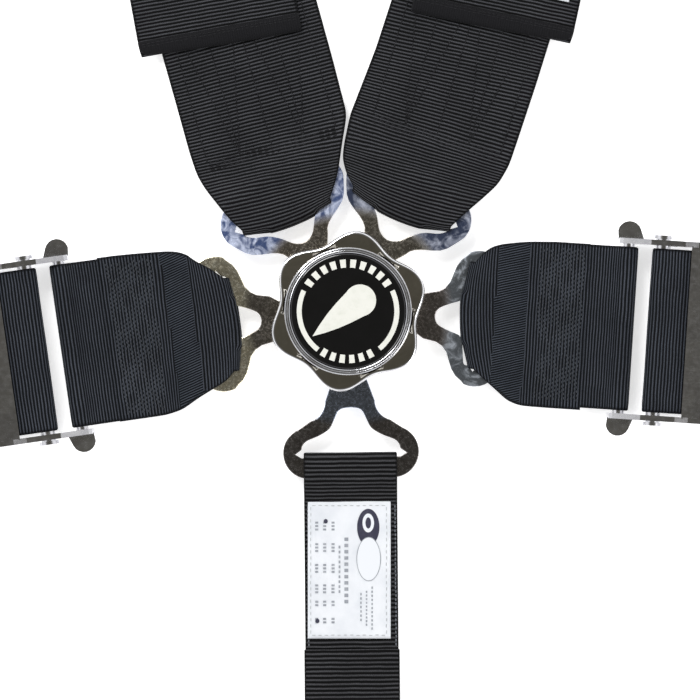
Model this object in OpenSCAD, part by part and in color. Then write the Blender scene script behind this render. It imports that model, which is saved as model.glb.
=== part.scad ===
// Five-point racing harness with a rotary cam-lock buckle, laid flat with its face up.
// Origin: centre of the buckle's back face. +Z leaves the face of the buckle, +Y goes to the
// shoulder belts, -Y to the crotch belt, and the lap belts leave along -X and +X.
// The harness is drawn with the knob held at its release stop, so the lock pins are up and the
// tongues are free to leave. Turning the knob back by knob_turn drops the pins into the tongues.

/* [Webbing] */
// Width of the shoulder and lap webbing
web_w = 76.2; // [75.6:0.2:76.8]
// Width of the crotch webbing
crotch_w = 44.4; // [43.6:0.2:45]
// Thickness of one ply of webbing
ply = 1.4; // [1.2:0.1:1.5]
// Length of each upper shoulder belt, from adjuster to bracket
upper_len = 250; // [180:5:400]
// Length of each lap belt, from adjuster to bracket
lap_len = 190; // [150:5:300]
// Length of the lower crotch belt, from slide to bracket
crotch_len = 95; // [90:5:200]

/* [Buckle] */
// Radius of the buckle housing
housing_r = 31; // [30.5:0.1:31.4]
// Mean radius of the knob
knob_r = 34.7; // [34.4:0.1:35]
// Height of the six knob lobes above and below the mean radius
knob_lobe = 2.7; // [2:0.1:2.9]
// Turn of the knob between locked and released, in degrees
knob_turn = 30; // [25:5:30]
// Travel of the lock pins
pin_travel = 4; // [3.8:0.1:4]
// Radius of the lock pins
pin_r = 3.2; // [2.8:0.1:3.2]

/* [Tongues] */
// Thickness of the tongue plates
tongue_t = 3; // [2.6:0.1:3]
// Distance of the upper four tongues' ears from the buckle centre
ear_reach = 59.3; // [59:0.1:60]
// Distance of the crotch tongue's ears from the buckle centre
crotch_ear_reach = 65.5; // [64:0.1:67]
// Radius of the tongue ears
ear_r = 12; // [11.6:0.1:12]

/* [Brackets] */
// Thickness of the anchor brackets
bracket_t = 3; // [2.8:0.1:3]
// Radius of the anchor bolt hole
bolt_hole_r = 5.75; // [5.6:0.05:6]

/* [Hidden] */
$fn = 48;

// Directions of the tongues, and of the belts that leave them, from +X
LEFT_SHOULDER = 121.2;
RIGHT_SHOULDER = 61.5;
LEFT_LAP = 185.6;
RIGHT_LAP = -3.2;
CROTCH = -88.8;
// Place and direction of the crotch belt, which hangs a little off its tongue's line
CROTCH_LINE = [0.45, 0, -89.5];
SPRUNG = [LEFT_SHOULDER, RIGHT_SHOULDER, LEFT_LAP, CROTCH];
SCREW_ANGLES = [29, 153.4, 228.4, -46];

// Place of each adjuster's grip bar, and the direction of its sewn bar from there
LEFT_CHEST = [-87, 263.1, 105.5];
RIGHT_CHEST = [98.7, 269.9, 73];
LEFT_HIP = [-144.9, -18.1, 8.2];
RIGHT_HIP = [144, -8.9, 176.3];

// Heights
back_t = 2;
tongue_z = 4;
tongue_mid = tongue_z + tongue_t / 2;
roof_z = tongue_z + tongue_t + 0.3;
housing_top = 11.5;
knob_z = housing_top + 0.4;
cam_t = 1.5;
pin_z = roof_z + 0.1;
head_z = 17.5;
head_t = 1.5;
spring_plate_z = 20.4;
ceiling_z = 21.8;
face_z = 24;
double = 2 * ply;

// Buckle layout
pin_circle_r = 21;
pin_head_r = 5.6;
cam_r = 17.2;
ramp_in_r = 15.2;
ramp_l = 1.2;
screw_circle_r = 27;
spindle_r = 4;
hub_r = 8;
recess_r = 29.6;
tip_r = 8;
ear_y = 19.6;

// Adjuster layout, from the grip bar
grip_r = 3.5;
grip_z = 9;
grip_slide = 3;
sewn_x = 16;
sewn_z = 6;
sewn_r = 3;
guide_x = -18;
guide_r = 2.2;
guide_z = 2.6;
ear_end_r = 5.6;
wing_z = 7;
ear_in = web_w / 2 + 1.4;
ear_t = 2.5;
fold_x = -28;
fold_z = 11;
tail_z = double + 0.3 + ply / 2;
tail_len = 113;
hem_len = 10;
ramp_len = 26;

// Bracket layout, from the bar that carries the webbing
bar_z = 5.1;
bracket_ring_r = 3.7;
eye_x = 52;
eye_r = 17;

// Crotch slide layout
slide_bar_r = 2.5;
slide_z = 5;
slide_pitch = 14;
slide_reach = 222;
crotch_end = slide_reach + 2 * slide_pitch + crotch_len;

label_t = 0.5;

function arc(c, r, from, to, n) =
    [for (i = [0:n]) c + r * [cos(from + (to - from) * i / n), sin(from + (to - from) * i / n)]];
function flipped(pts) = [for (i = [len(pts) - 1:-1:0]) [pts[i][0], -pts[i][1]]];
function backwards(pts) = [for (i = [len(pts) - 1:-1:0]) pts[i]];
function normal(p, q) = [p[1] - q[1], q[0] - p[0]] / norm(q - p);
function mitred(before, after) = let (m = before + after) 2 * m / (m * m);
// The points of a path moved sideways by d
function beside(path, d) = let (n = len(path) - 1) [for (i = [0:n])
    path[i] + d * mitred(normal(path[max(i - 1, 0)], path[max(i, 1)]),
        normal(path[min(i, n - 1)], path[min(i + 1, n)]))];
function ribbon(path, t) = concat(beside(path, t / 2), backwards(beside(path, -t / 2)));

module facing(angle) {
    rotate([0, 0, angle]) children();
}

module placed(place) {
    translate([place[0], place[1], 0]) facing(place[2]) children();
}

// A strip with the side view of a path in X and Z, running across Y
module strip(path, w, t) {
    rotate([90, 0, 0]) linear_extrude(w, center = true) polygon(ribbon(path, t));
}

// A round bar across Y
module bar(x, z, r, w) {
    translate([x, 0, z]) rotate([90, 0, 0]) cylinder(r = r, h = w, center = true);
}

// A loop of webbing round a bar across Y
module loop_ring(x, z, r, w) {
    difference() {
        bar(x, z, r + ply, w);
        bar(x, z, r, w + 2);
    }
}

// ---- Buckle ----

module screw_holes(r) {
    for (a = SCREW_ANGLES) facing(a) translate([screw_circle_r, 0, -1]) cylinder(r = r, h = 40);
}

module back_plate() {
    color("silver") difference() {
        cylinder(r = housing_r, h = back_t);
        screw_holes(1.6);
        for (a = SCREW_ANGLES) facing(a) translate([screw_circle_r, 0, -0.01]) cylinder(r = 3.1, h = 1.2);
        facing(RIGHT_LAP) translate([pin_circle_r, 0, -1]) cylinder(r = pin_r, h = 9);
    }
}

module tongue_channel(angle) {
    half_w = tip_r + 0.3;
    facing(angle) translate([0, 0, tongue_z - 0.3]) {
        translate([pin_circle_r, 0, 0]) cylinder(r = half_w, h = roof_z - tongue_z + 0.3);
        translate([pin_circle_r, -half_w, 0]) cube([20, 2 * half_w, roof_z - tongue_z + 0.3]);
    }
}

module buckle_housing() {
    color("silver") difference() {
        translate([0, 0, back_t]) cylinder(r = housing_r, h = housing_top - back_t);
        for (a = concat(SPRUNG, [RIGHT_LAP])) tongue_channel(a);
        for (a = SPRUNG) facing(a) translate([pin_circle_r, 0, pin_z - pin_travel - 0.2])
            cylinder(r = pin_r + 0.06, h = 20);
        facing(RIGHT_LAP) translate([pin_circle_r, 0, -1]) cylinder(r = pin_r, h = 40);
        screw_holes(1.6);
        translate([0, 0, -1]) cylinder(r = spindle_r, h = 40);
    }
}

module housing_screws() {
    color("dimgray") for (a = SCREW_ANGLES) facing(a) translate([screw_circle_r, 0, 0.1]) difference() {
        union() {
            cylinder(r = 1.6, h = spring_plate_z + 0.9);
            cylinder(r = 3, h = 1.09);
        }
        translate([0, 0, -0.5]) cylinder(r = 1.3, h = 1.2, $fn = 6);
    }
}

module standoffs() {
    color("silver") for (a = SCREW_ANGLES)
        facing(a) translate([screw_circle_r, 0, housing_top]) difference() {
            cylinder(r = 2.4, h = spring_plate_z - housing_top);
            translate([0, 0, -1]) cylinder(r = 1.6, h = 20);
        }
}

module cam_spindle() {
    color("silver") translate([0, 0, back_t]) cylinder(r = spindle_r, h = face_z - 1.3 - back_t);
}

module spring_plate() {
    color("silver") difference() {
        translate([0, 0, spring_plate_z]) cylinder(r = 29, h = 1);
        translate([0, 0, spring_plate_z - 1]) cylinder(r = hub_r + 0.4, h = 3);
        screw_holes(1.6);
    }
}

// Turns of the torsion spring that brings the knob back to locked
module knob_return_spring() {
    color("gray") for (i = [0:2]) translate([0, 0, 15 + 1.9 * i])
        rotate_extrude() translate([10, 0]) circle(r = 0.8, $fn = 16);
}

module knob_screw() {
    color("dimgray") difference() {
        translate([0, 0, face_z - 1.3]) cylinder(r = 6.2, h = 1.2);
        translate([0, 0, face_z - 0.8]) cylinder(r = 2.3, h = 2, $fn = 6);
    }
}

module captive_screw() {
    color("dimgray") facing(RIGHT_LAP) translate([pin_circle_r, 0, 0]) {
        translate([0, 0, 0.1]) cylinder(r = pin_r, h = housing_top - 0.1);
        translate([0, 0, housing_top]) cylinder(r = 3.5, h = 2);
    }
}

function knob_outline(n) = [for (i = [0:n - 1])
    let (a = 360 * i / n) (knob_r + knob_lobe * cos(6 * (a - 22))) * [cos(a), sin(a)]];

module knob() {
    color("lightgray") difference() {
        translate([0, 0, knob_z]) linear_extrude(face_z - knob_z) polygon(knob_outline(120));
        translate([0, 0, knob_z - 1]) difference() {
            cylinder(r = recess_r, h = ceiling_z - knob_z + 1);
            cylinder(r = hub_r, h = 40);
        }
        cylinder(r = spindle_r + 0.05, h = 40);
        translate([0, 0, face_z - 1.5]) cylinder(r = 6.6, h = 3);
    }
}

module bezel_ring() {
    color("gainsboro") translate([0, 0, face_z]) difference() {
        union() {
            cylinder(r = 29.2, h = 1);
            translate([0, 0, 1]) cylinder(r1 = 29.2, r2 = 28.4, h = 0.6);
        }
        translate([0, 0, -1]) cylinder(r = 25.6, h = 4);
    }
}

module badge() {
    color("black") translate([0, 0, face_z]) cylinder(r = 25.6, h = 1);
}

// Stepped ramps that lift the pin heads as the knob turns to release
module cam_plate() {
    first = -12;
    step = 6;
    color("silver") {
        difference() {
            translate([0, 0, knob_z]) cylinder(r = cam_r, h = cam_t);
            translate([0, 0, knob_z - 1]) cylinder(r = hub_r, h = cam_t + 2);
        }
        for (a = SPRUNG) for (i = [0:3])
            facing(a + first + step * (i + 0.5)) ramp_step(i, step, first + step * (i + 1));
    }
}

// One step of a ramp, from, in the turn of the knob, step degrees before the angle end
module ramp_step(i, step, end) {
    head_span = 13.4;
    top_z = head_z - 0.2 - pin_travel / knob_turn * (end + head_span);
    half_w = cam_r * tan(step / 2) + 0.2;
    low_z = knob_z + cam_t - 0.2;
    translate([ramp_in_r + 0.1 * i, -half_w, low_z]) cube([ramp_l, 2 * half_w, top_z - low_z]);
}

module lock_pin(angle) {
    color("gray") facing(angle) translate([pin_circle_r, 0, 0]) {
        translate([0, 0, pin_z]) cylinder(r = pin_r, h = head_z - pin_z);
        translate([0, 0, head_z]) cylinder(r = pin_head_r, h = head_t);
    }
}

// Turns of a compressed pin spring
module pin_spring(angle) {
    wire_r = 0.3;
    color("gray") facing(angle) for (i = [0:1])
        translate([pin_circle_r, 0, head_z + head_t + wire_r + 0.04 + i * (2 * wire_r + 0.05)])
            rotate_extrude() translate([3.4, 0]) circle(r = wire_r, $fn = 16);
}

// ---- Tongues ----

function tongue_neck() = concat(arc([pin_circle_r, 0], tip_r, 180, 90, 8), [[housing_r + 0.6, tip_r]]);
function crotch_half(e) = concat(
    tongue_neck(),
    arc([e - 24, 21], 9.5, 270, 345, 6),
    arc([e, ear_y], ear_r, 158, 0, 14));
function shoulder_half(e) = concat(
    tongue_neck(),
    [[e - 23.3, 10.9], [e - 21.1, 12], [e - 19.3, 13.9], [e - 17.7, 16.6], [e - 15.9, 20.6],
        [e - 13.9, 24.3], [e - 11.5, 26.7], [e - 8.5, 28.5], [e - 5.6, 30.1]],
    arc([e - 0.3, ear_y], ear_r, 105, 0, 9));
function lap_half(e) = concat(
    tongue_neck(),
    [[e - 23.8, 10.6], [e - 20.8, 11.2], [e - 17.8, 11.8], [e - 14.9, 13.5], [e - 12.6, 16.4],
        [e - 11.3, 20.2], [e - 9.9, 24], [e - 7.9, 27], [e - 5.1, 29.3]],
    arc([e + 0.7, ear_y], ear_r, 112, 0, 9));
function crotch_window(e) = [[e - 20.9, 0.01], [e - 20.6, 3], [e - 19.6, 5.2], [e - 17.5, 6.5],
    [e - 12.4, 8.8], [e - 10.1, 11], [e - 7.7, 15.3], [e - 5.8, 20.1], [e - 3.9, 22.2], [e - 1.5, 23],
    [e + 2.3, 23]];
function shoulder_window(e) = [[e - 21.3, 0.01], [e - 20.7, 2.6], [e - 19, 5.2], [e - 16.4, 7.3],
    [e - 13.1, 10.1], [e - 9.9, 14.2], [e - 8, 18.6], [e - 6.1, 21.4], [e - 3.5, 23], [e + 2.3, 23]];
function lap_window(e) = [[e - 18.8, 0.01], [e - 18.3, 2.2], [e - 16.9, 3.9], [e - 14.3, 5.3],
    [e - 11.1, 6.6], [e - 7.3, 8], [e - 6, 10], [e - 5.3, 13], [e - 4.8, 19], [e - 4.2, 22.3],
    [e - 2.6, 23], [e + 2.3, 23]];

// Plate cut to half a plan and its mirror image, less the window and the hole for the lock pin
module tongue(angle, plan, window) {
    color("gainsboro") facing(angle) translate([0, 0, tongue_z]) difference() {
        linear_extrude(tongue_t) difference() {
            polygon(concat(plan, flipped(plan)));
            polygon(concat(window, flipped(window)));
        }
        translate([pin_circle_r, 0, -1]) cylinder(r = pin_r + 0.4, h = tongue_t + 2);
    }
}

// ---- Webbing at the tongues ----

// Full, loose loop round the tongue bar: two plies that bulge past the window, and the turn that
// goes through the window; e is the tongue's ear reach
module full_loop(e, w) {
    m = tongue_mid;
    translate([e, 0, 0]) {
        for (side = [-1, 1])
            strip([[-8, m + side * 2.9], [12.3, m + side * 2.9], [15, m + side * 0.7]], w, ply);
        strip([[-2.8, m - 2.9], [-2.8, m + 2.9]], 43.6, ply);
        strip([[14, m], [22, 3.2], [30, ply], [170, ply]], w, double);
    }
}

// Flat loop drawn tight against the tongue bar
module flat_loop(e, w) {
    m = tongue_mid;
    translate([e, 0, 0]) {
        strip([[15, m + 0.7], [12.3, m + 2.9], [3.2, m + 2.9], [1.3, m + 1.6], [1.3, m - 1.6], [3.2, m - 2.9],
            [12.3, m - 2.9], [15, m - 0.7]], w, ply);
        strip([[14, m], [22, ply], [40, ply]], w, double);
    }
}

// Plans of the folded webbing at the tongues, in the frames of the adjusters
LEFT_SHOULDER_OUTLINE = [[-231, 21], [-231, 4], [-229, -9], [-226, -19], [-214, -24.5], [-210, -30.2],
    [-204, -32.3], [-165, -38.1], [-115, -38.1], [-115, 38.1], [-196.5, 38.1], [-217, 29.7], [-228, 25]];
RIGHT_SHOULDER_OUTLINE = [[-238, 20], [-239, 4], [-238, -18.5], [-224, -25], [-210, -35], [-201, -38.1],
    [-115, -38.1], [-115, 38.1], [-212, 37.6], [-223, 35.6], [-228, 33], [-232, 29.5]];

// Belt from the tongue to the adjuster, where it turns round the grip bar
module shoulder_belt(tongue_angle, place, outline) {
    color([0.1, 0.1, 0.11]) {
        intersection() {
            placed(place) linear_extrude(30) polygon(outline);
            facing(tongue_angle) full_loop(ear_reach, 4 * web_w);
        }
        placed(place) strip(concat([[-115, ply / 2], [-36, ply / 2], [-22, 6], [-14, 6], [-8, grip_z - 4.5]],
            arc([0, grip_z], 4.5, -90, 90, 10), [[-14, grip_z + 4.5], [fold_x, fold_z]]), web_w, ply);
    }
}

LAP_OUTLINE = [[90, -8], [90, 8], [86, 21], [72, 29.5], [62, 36.3], [54, 38.1], [10, 38.1],
    [10, -38.1], [50, -38.1], [58, -35], [66, -31], [76, -27.5], [82, -22.5]];

// Short sewn link from a lap tongue to the sewn bar of its adjuster
// lead is how far the sewn bar stands back from the fold, over the usual distance
module lap_link(tongue_angle, place, lead) {
    color([0.12, 0.13, 0.15]) {
        intersection() {
            placed(place) translate([lead, 0, 0]) linear_extrude(30) polygon(LAP_OUTLINE);
            facing(tongue_angle) full_loop(ear_reach, 2 * web_w);
            facing(tongue_angle) translate([45, -web_w, 0]) cube([62, 2 * web_w, 30]);
        }
        placed(place) {
            strip([[48, ply], [31, ply], [sewn_x + 4, sewn_z - 1]], web_w, double);
            loop_ring(sewn_x, sewn_z, sewn_r + 0.3, web_w);
        }
    }
}

module crotch_belt() {
    near_ring = slide_reach - crotch_ear_reach;
    color([0.1, 0.1, 0.11]) placed(CROTCH_LINE) {
        flat_loop(crotch_ear_reach, crotch_w);
        translate([crotch_ear_reach, 0, 0]) strip([[38, ply], [near_ring - 12, ply],
            [near_ring - slide_bar_r - 1, slide_z - 0.5]], crotch_w, double);
        loop_ring(slide_reach, slide_z, slide_bar_r + 0.3, crotch_w);
    }
}

// ---- Adjusters ----

module adjuster_ear() {
    rotate([90, 0, 0]) linear_extrude(ear_t) polygon(concat(
        [[-24, 17.5], [-25, 15], [-22, 4], [-19, 0.4]],
        arc([sewn_x, sewn_z], ear_end_r, -90, 60, 7),
        [[6, 15.6], [-10, 15.6], [-16, 17.5]]));
}

// Finger wing on the outside of an ear, by the sewn bar
module wing() {
    translate([0, ear_in + ear_t - 0.5, wing_z]) linear_extrude(1.8)
        polygon(concat([[9, 0]], arc([16, 3], 5.5, 160, 10, 8), [[21, 0]]));
}

// Frame with two ears, a guide bar and a release tab on the belt side, and a sewn bar
module adjuster_frame(place) {
    color("gainsboro") placed(place) {
        difference() {
            union() {
                translate([0, ear_in + ear_t, 0]) adjuster_ear();
                translate([0, -ear_in, 0]) adjuster_ear();
            }
            for (x = [0, -grip_slide]) bar(x, grip_z, grip_r + 0.2, 200);
            translate([-grip_slide, -100, grip_z - grip_r - 0.2]) cube([grip_slide, 200, 2 * grip_r + 0.4]);
        }
        bar(sewn_x, sewn_z, sewn_r, 2 * ear_in + 1);
        for (side = [0, 1]) mirror([0, side, 0]) wing();
        bar(guide_x, guide_z, guide_r, 2 * ear_in + 1);
        strip([[-27, 18.6], [-23, 16.6], [-13, 15.9]], 2 * ear_in + 1, 1.6);
    }
}

module grip_bar(place) {
    color("silver") placed(place) {
        bar(0, grip_z, grip_r, 2 * (ear_in + ear_t) + 3);
        for (side = [-1, 1]) translate([0, side * (ear_in + ear_t + 1.4), 0])
            bar(0, grip_z, grip_r + 1.3, 1.6);
    }
}

function turned(p, a) = [p[0] * cos(a) - p[1] * sin(a), p[0] * sin(a) + p[1] * cos(a)];
// Plan of a tail from its fold, straight down the ramp and then turned sideways by skew
function tail_outline(skew) = let (half = web_w / 2)
    [[2, half], [-ramp_len, half], turned([-tail_len, half], skew), turned([-tail_len, -half], skew),
    [-ramp_len, -half], [2, -half]];

// Free end of a belt, drawn through its adjuster, with a hem at its tip
module tail(place, skew) {
    color([0.1, 0.1, 0.11]) placed(place) translate([fold_x, 0, 0]) {
        intersection() {
            linear_extrude(30) polygon(tail_outline(skew));
            strip([[-0.3, fold_z], [-ramp_len, tail_z], [-tail_len - 20, tail_z]], 2 * web_w, ply);
        }
        facing(skew) translate([0.2 - tail_len, 0.3 - web_w / 2, tail_z])
            cube([hem_len, web_w - 0.6, 1.5 * ply]);
    }
}

// ---- Belts and brackets beyond the adjusters ----

// Belt sewn to an adjuster's sewn bar at one end and to a bracket at the other
module upper_belt(place) {
    end_x = sewn_x + upper_len;
    color([0.1, 0.1, 0.11]) placed(place) {
        loop_ring(sewn_x, sewn_z, sewn_r + 0.3, web_w);
        strip([[sewn_x + 4, sewn_z - 1], [31, ply], [end_x - 14, ply],
            [end_x - bracket_ring_r - 0.6, bar_z - 0.6]], web_w, double);
        loop_ring(end_x, bar_z, bracket_ring_r, web_w);
    }
}

// Belt that turns round a grip bar and is sewn to a bracket
module lap_belt(place) {
    color([0.12, 0.13, 0.15]) placed(place) {
        strip(concat([[-lap_len + 40, ply / 2], [-36, ply / 2], [-22, 6], [-14, 6], [-8, grip_z - 4.5]],
            arc([0, grip_z], 4.5, -90, 90, 10), [[-14, grip_z + 4.5], [fold_x, fold_z]]), web_w, ply);
        strip([[-lap_len + 60, ply], [-lap_len + 14, ply], [-lap_len + bracket_ring_r + 0.6, bar_z - 0.6]],
            web_w, double);
        loop_ring(-lap_len, bar_z, bracket_ring_r, web_w);
    }
}

function bracket_half(half_w) = concat([[-3, half_w - 3], [0, half_w], [13, half_w]],
    arc([eye_x, 0], eye_r, 60, 0, 8));

// Bolt-in anchor plate: webbing bar, window, cranked neck and a drilled eye
module bracket(place, w) {
    half_w = w / 2 + 7.5;
    color("gainsboro") placed(place) difference() {
        intersection() {
            strip([[-3, bar_z], [14, bar_z], [24, bracket_t / 2], [eye_x + eye_r, bracket_t / 2]],
                2 * half_w, bracket_t);
            linear_extrude(20) polygon(concat(bracket_half(half_w), flipped(bracket_half(half_w))));
        }
        translate([3, -w / 2 - 1, -1]) cube([9, w + 2, 20]);
        translate([eye_x, 0, -1]) cylinder(r = bolt_hole_r, h = 20);
    }
}

function along(place, d) = [place[0] + d * cos(place[2]), place[1] + d * sin(place[2]), place[2]];
function reversed(place) = [place[0], place[1], place[2] + 180];

// ---- Crotch slide and lower belt ----

module crotch_slide() {
    half_w = crotch_w / 2 + 1;
    color("gainsboro") placed(CROTCH_LINE) translate([slide_reach, 0, slide_z]) {
        for (i = [0:2]) bar(slide_pitch * i, 0, slide_bar_r, 2 * half_w + 2);
        for (side = [0, 1]) mirror([0, side, 0]) translate([-slide_bar_r, half_w, -slide_bar_r])
            cube([2 * slide_pitch + 2 * slide_bar_r, 4, 2 * slide_bar_r]);
    }
}

// Belt that runs over the far bar, round the middle bar and back under, down to the bracket
module crotch_lower_belt() {
    turn_r = slide_bar_r + 0.3 + ply / 2;
    far = 2 * slide_pitch;
    color([0.1, 0.1, 0.11]) placed(CROTCH_LINE) translate([slide_reach, 0, 0]) {
        strip(concat([[far + 22, ply + ply / 2], [far + 4, slide_z + turn_r]],
            arc([slide_pitch, slide_z], turn_r, 90, 270, 8),
            [[far - 2, slide_z - turn_r], [far + 22, ply / 2]]), crotch_w, ply);
        strip([[far + 20, ply], [crotch_len + far - 14, ply],
            [crotch_len + far - bracket_ring_r - 0.6, bar_z - 0.6]], crotch_w, double);
        loop_ring(crotch_len + far, bar_z, bracket_ring_r, crotch_w);
    }
}

// ---- Labels ----

module crotch_label() {
    color("white") translate([-19, -152.4, double]) cube([38.7, 64, label_t]);
}

module shoulder_label() {
    color("white") placed(RIGHT_CHEST) translate([fold_x, 0, 0]) facing(4.8)
        translate([18.5 - tail_len, -33, tail_z + ply / 2]) cube([52, 60, label_t]);
}

back_plate();
buckle_housing();
housing_screws();
standoffs();
cam_spindle();
spring_plate();
knob_return_spring();
knob_screw();
captive_screw();
knob();
bezel_ring();
badge();
cam_plate();
lock_pin(LEFT_SHOULDER);  // lock_pin_left_shoulder
lock_pin(RIGHT_SHOULDER);  // lock_pin_right_shoulder
lock_pin(LEFT_LAP);  // lock_pin_left_lap
lock_pin(CROTCH);  // lock_pin_crotch
pin_spring(LEFT_SHOULDER);  // pin_spring_left_shoulder
pin_spring(RIGHT_SHOULDER);  // pin_spring_right_shoulder
pin_spring(LEFT_LAP);  // pin_spring_left_lap
pin_spring(CROTCH);  // pin_spring_crotch
tongue(LEFT_SHOULDER, shoulder_half(ear_reach), shoulder_window(ear_reach));  // left_shoulder_tongue
tongue(RIGHT_SHOULDER, shoulder_half(ear_reach), shoulder_window(ear_reach));  // right_shoulder_tongue
tongue(LEFT_LAP, lap_half(ear_reach), lap_window(ear_reach));  // left_lap_tongue
tongue(RIGHT_LAP, lap_half(ear_reach), lap_window(ear_reach));  // right_lap_tongue
tongue(CROTCH, crotch_half(crotch_ear_reach), crotch_window(crotch_ear_reach));  // crotch_tongue
shoulder_belt(LEFT_SHOULDER, LEFT_CHEST, LEFT_SHOULDER_OUTLINE);  // left_shoulder_belt
shoulder_belt(RIGHT_SHOULDER, RIGHT_CHEST, RIGHT_SHOULDER_OUTLINE);  // right_shoulder_belt
tail(LEFT_CHEST, -5.1);  // left_shoulder_tail
tail(RIGHT_CHEST, 4.8);  // right_shoulder_tail
adjuster_frame(LEFT_CHEST);  // left_shoulder_adjuster
adjuster_frame(RIGHT_CHEST);  // right_shoulder_adjuster
grip_bar(LEFT_CHEST);  // left_shoulder_grip_bar
grip_bar(RIGHT_CHEST);  // right_shoulder_grip_bar
upper_belt(LEFT_CHEST);  // left_upper_belt
upper_belt(RIGHT_CHEST);  // right_upper_belt
bracket(along(LEFT_CHEST, sewn_x + upper_len), web_w);  // left_shoulder_bracket
bracket(along(RIGHT_CHEST, sewn_x + upper_len), web_w);  // right_shoulder_bracket
lap_link(LEFT_LAP, LEFT_HIP, 11.5);  // left_lap_link
lap_link(RIGHT_LAP, RIGHT_HIP, 5.8);  // right_lap_link
adjuster_frame(LEFT_HIP);  // left_lap_adjuster
adjuster_frame(RIGHT_HIP);  // right_lap_adjuster
grip_bar(LEFT_HIP);  // left_lap_grip_bar
grip_bar(RIGHT_HIP);  // right_lap_grip_bar
lap_belt(LEFT_HIP);  // left_lap_belt
lap_belt(RIGHT_HIP);  // right_lap_belt
tail(LEFT_HIP, 2);  // left_lap_tail
tail(RIGHT_HIP, -3);  // right_lap_tail
bracket(reversed(along(LEFT_HIP, -lap_len)), web_w);  // left_lap_bracket
bracket(reversed(along(RIGHT_HIP, -lap_len)), web_w);  // right_lap_bracket
crotch_belt();
crotch_slide();
crotch_lower_belt();
bracket(along(CROTCH_LINE, crotch_end), crotch_w);  // crotch_bracket
crotch_label();
shoulder_label();
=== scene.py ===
import math
import random

import bmesh
import bpy
import numpy as np
from mathutils import Matrix, Vector, noise
from mathutils.geometry import tessellate_polygon


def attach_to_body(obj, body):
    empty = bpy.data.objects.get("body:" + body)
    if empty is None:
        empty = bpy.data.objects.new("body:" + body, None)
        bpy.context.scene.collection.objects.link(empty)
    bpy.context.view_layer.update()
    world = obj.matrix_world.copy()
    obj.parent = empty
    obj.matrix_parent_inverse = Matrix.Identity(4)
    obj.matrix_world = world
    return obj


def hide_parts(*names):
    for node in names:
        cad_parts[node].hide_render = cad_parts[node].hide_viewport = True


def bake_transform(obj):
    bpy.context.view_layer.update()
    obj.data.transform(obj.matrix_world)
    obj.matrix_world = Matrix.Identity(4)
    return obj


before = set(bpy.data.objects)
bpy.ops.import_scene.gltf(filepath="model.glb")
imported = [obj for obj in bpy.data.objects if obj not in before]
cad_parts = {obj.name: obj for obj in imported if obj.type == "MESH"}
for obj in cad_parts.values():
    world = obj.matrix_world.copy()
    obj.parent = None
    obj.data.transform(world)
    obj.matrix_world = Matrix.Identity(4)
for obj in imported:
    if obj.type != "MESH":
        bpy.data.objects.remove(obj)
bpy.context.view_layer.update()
random.seed(7)
MM = 0.001

# ---- places, in millimetres and degrees
# x, y and heading of each adjuster, as in part.scad
LEFT_CHEST = (-87, 263.1, 105.5)
RIGHT_CHEST = (98.7, 269.9, 73)
LEFT_HIP = (-144.9, -18.1, 8.2)
RIGHT_HIP = (144, -8.9, 176.3)
CENTRE_LINE = (0.45, 0, -89.5)
# headings of the tongues, seen from the buckle
LEFT_SHOULDER, RIGHT_SHOULDER, LEFT_LAP, RIGHT_LAP, CROTCH = 121.2, 61.5, 185.6, -3.2, -88.8
WEB, CROTCH_W, PLY = 76.2, 44.4, 1.4
EAR, CROTCH_EAR = 59.3, 65.5  # from the buckle's centre to the middle of a tongue's ears
SLIDE = 222  # from the buckle's centre to the crotch belt's slide
UPPER_RUN, LAP_RUN, LOWER_RUN = 250, 190, 95  # belts beyond the adjusters and the slide
TAIL_FOLD, LEFT_SKEW, RIGHT_SKEW = -28.0, -5.1, 4.8  # where tails fold back, and how far they turn
YARN_PITCH = 0.00085


def spot(place, x, y, z):
    """A point given in a place's own x and y."""
    a = math.radians(place[2])
    return Vector((place[0] + x * math.cos(a) - y * math.sin(a),
                   place[1] + x * math.sin(a) + y * math.cos(a), z))


def tongue_u(angle, p):
    """How far past the tongue's ear centre a point lies, along the tongue."""
    a = math.radians(angle)
    return p.x * math.cos(a) + p.y * math.sin(a) - EAR


def tongue_v(angle, p):
    a = math.radians(angle)
    return -p.x * math.sin(a) + p.y * math.cos(a)


def ramp(x, points):
    """Straight lines between (x, y) points, flat beyond them."""
    if x <= points[0][0]:
        return points[0][1]
    for (xa, ya), (xb, yb) in zip(points, points[1:]):
        if x <= xb:
            t = (x - xa) / (xb - xa)
            return ya + (yb - ya) * t
    return points[-1][1]


def soft(a, b, x):
    t = min(1, max(0, (x - a) / (b - a)))
    return t * t * (3 - 2 * t)


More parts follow.
